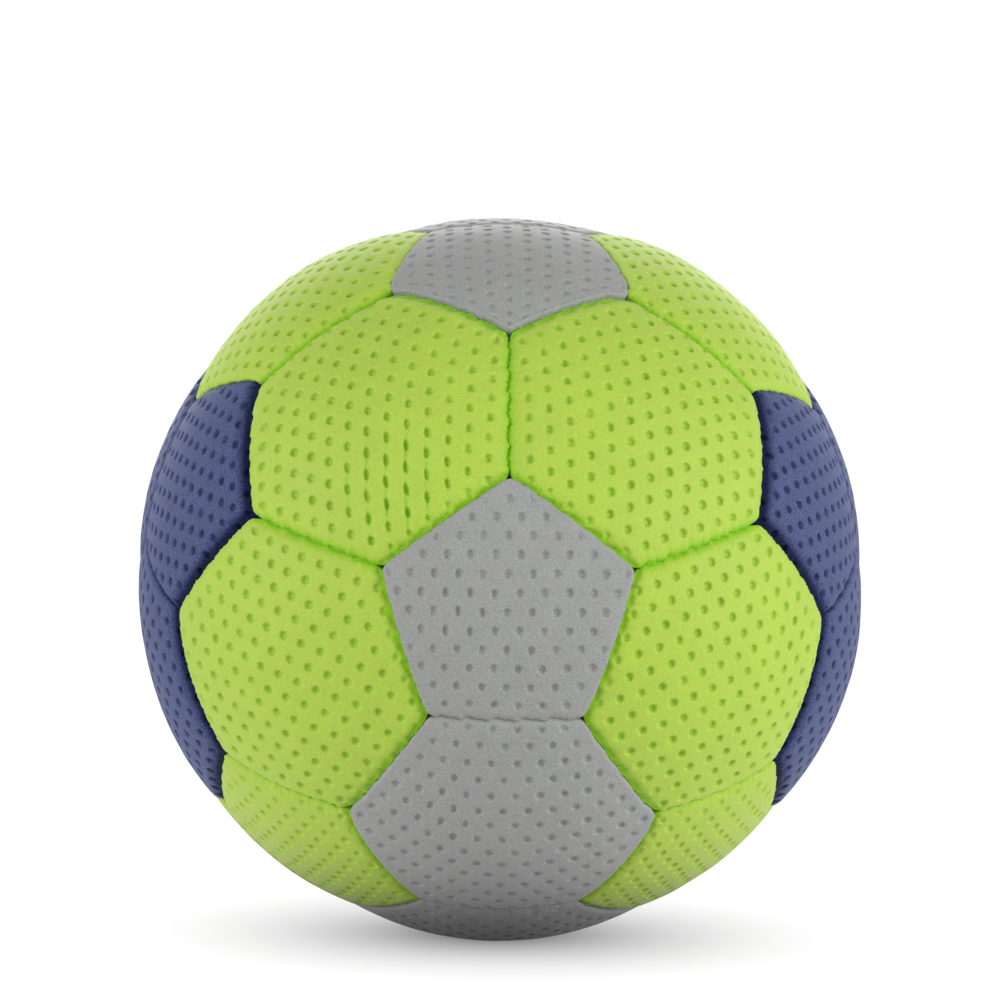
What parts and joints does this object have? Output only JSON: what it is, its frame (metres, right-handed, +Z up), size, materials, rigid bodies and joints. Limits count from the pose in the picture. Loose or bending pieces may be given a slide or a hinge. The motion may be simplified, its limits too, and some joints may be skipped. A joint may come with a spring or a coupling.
{
  "type": "handball",
  "caption": "Sewn handball of soft dimpled foam hexagons and pentagons over cloth linings, an air bladder and a needle valve, for throwing and catching.",
  "frame": {"origin": "centre of the ball", "axes": "+Z up; the grey pentagon that faces the viewer is on -Y with a corner up; the needle valve is on +Y; the colours mirror across the plane X = 0"},
  "size_m": [0.172, 0.1733, 0.1742],
  "materials": {
    "foam_grey": "matt dimpled foam",
    "foam_blue": "matt dimpled foam",
    "foam_green": "matt dimpled foam",
    "lining_cloth": "plain weave",
    "bladder_rubber": "matt",
    "valve_rubber": "matt",
    "valve_plug": "satin"
  },
  "bodies": {
    "root": {"front_pentagon": "foam_grey", "front_hexagon_3": "foam_grey", "front_side_pentagon_1": "foam_grey", "front_side_hexagon_3": "foam_grey", "back_side_hexagon_1": "foam_grey", "back_side_pentagon_3": "foam_grey", "back_hexagon_1": "foam_grey", "back_pentagon": "foam_grey", "front_side_pentagon_2": "foam_blue", "front_side_pentagon_5": "foam_blue", "front_side_hexagon_2": "foam_blue", "front_side_hexagon_4": "foam_blue", "back_side_hexagon_2": "foam_blue", "back_side_hexagon_5": "foam_blue", "back_side_pentagon_2": "foam_blue", "back_side_pentagon_4": "foam_blue", "front_hexagon_1": "foam_green", "front_hexagon_2": "foam_green", "front_hexagon_4": "foam_green", "front_hexagon_5": "foam_green", "front_side_pentagon_3": "foam_green", "front_side_pentagon_4": "foam_green", "front_side_hexagon_1": "foam_green", "front_side_hexagon_5": "foam_green", "back_side_hexagon_3": "foam_green", "back_side_hexagon_4": "foam_green", "back_side_pentagon_1": "foam_green", "back_side_pentagon_5": "foam_green", "back_hexagon_2": "foam_green", "back_hexagon_3": "foam_green", "back_hexagon_4": "foam_green", "back_hexagon_5": "foam_green", "pentagon_linings": "lining_cloth", "hexagon_linings": "lining_cloth", "bladder": "bladder_rubber", "valve_housing": "valve_rubber", "valve_core": "valve_plug"}
  },
  "joints": []
}
